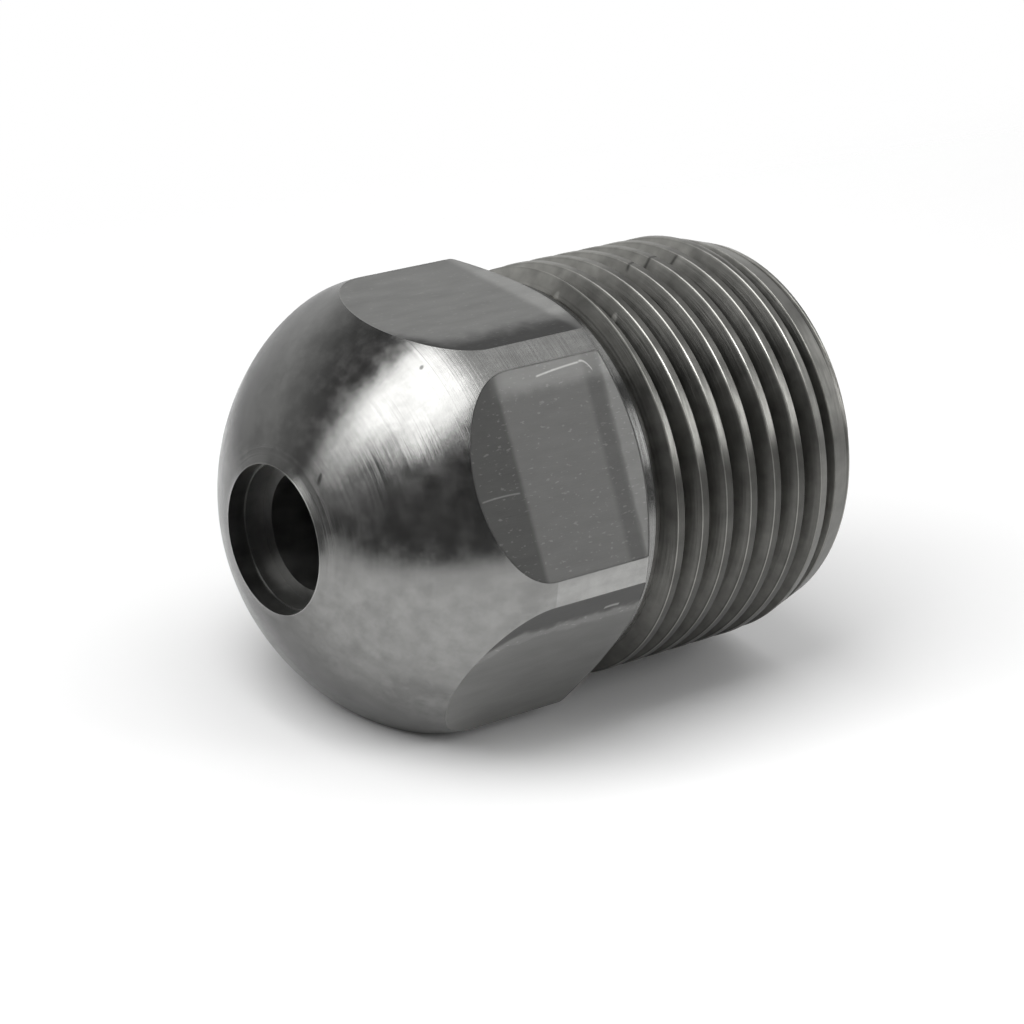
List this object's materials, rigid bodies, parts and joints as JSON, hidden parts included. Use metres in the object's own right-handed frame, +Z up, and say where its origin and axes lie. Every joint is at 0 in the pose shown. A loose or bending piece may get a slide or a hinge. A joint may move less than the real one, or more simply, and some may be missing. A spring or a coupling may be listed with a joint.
{
  "type": "hot runner nozzle tip",
  "caption": "One-piece steel nozzle tip with a domed nose, milled hexagon head, short neck and threaded shank, bored through for melt.",
  "frame": {"origin": "on the axis, in the plane where the chamfer behind the hexagon begins", "axes": "+X along the axis from the domed nose to the threaded end, +Z up, square to the top flat of the hexagon"},
  "size_m": [0.027, 0.0212, 0.0196],
  "materials": {
    "tool_steel": "turned"
  },
  "bodies": {
    "root": {"tip_body": "tool_steel"}
  },
  "joints": []
}
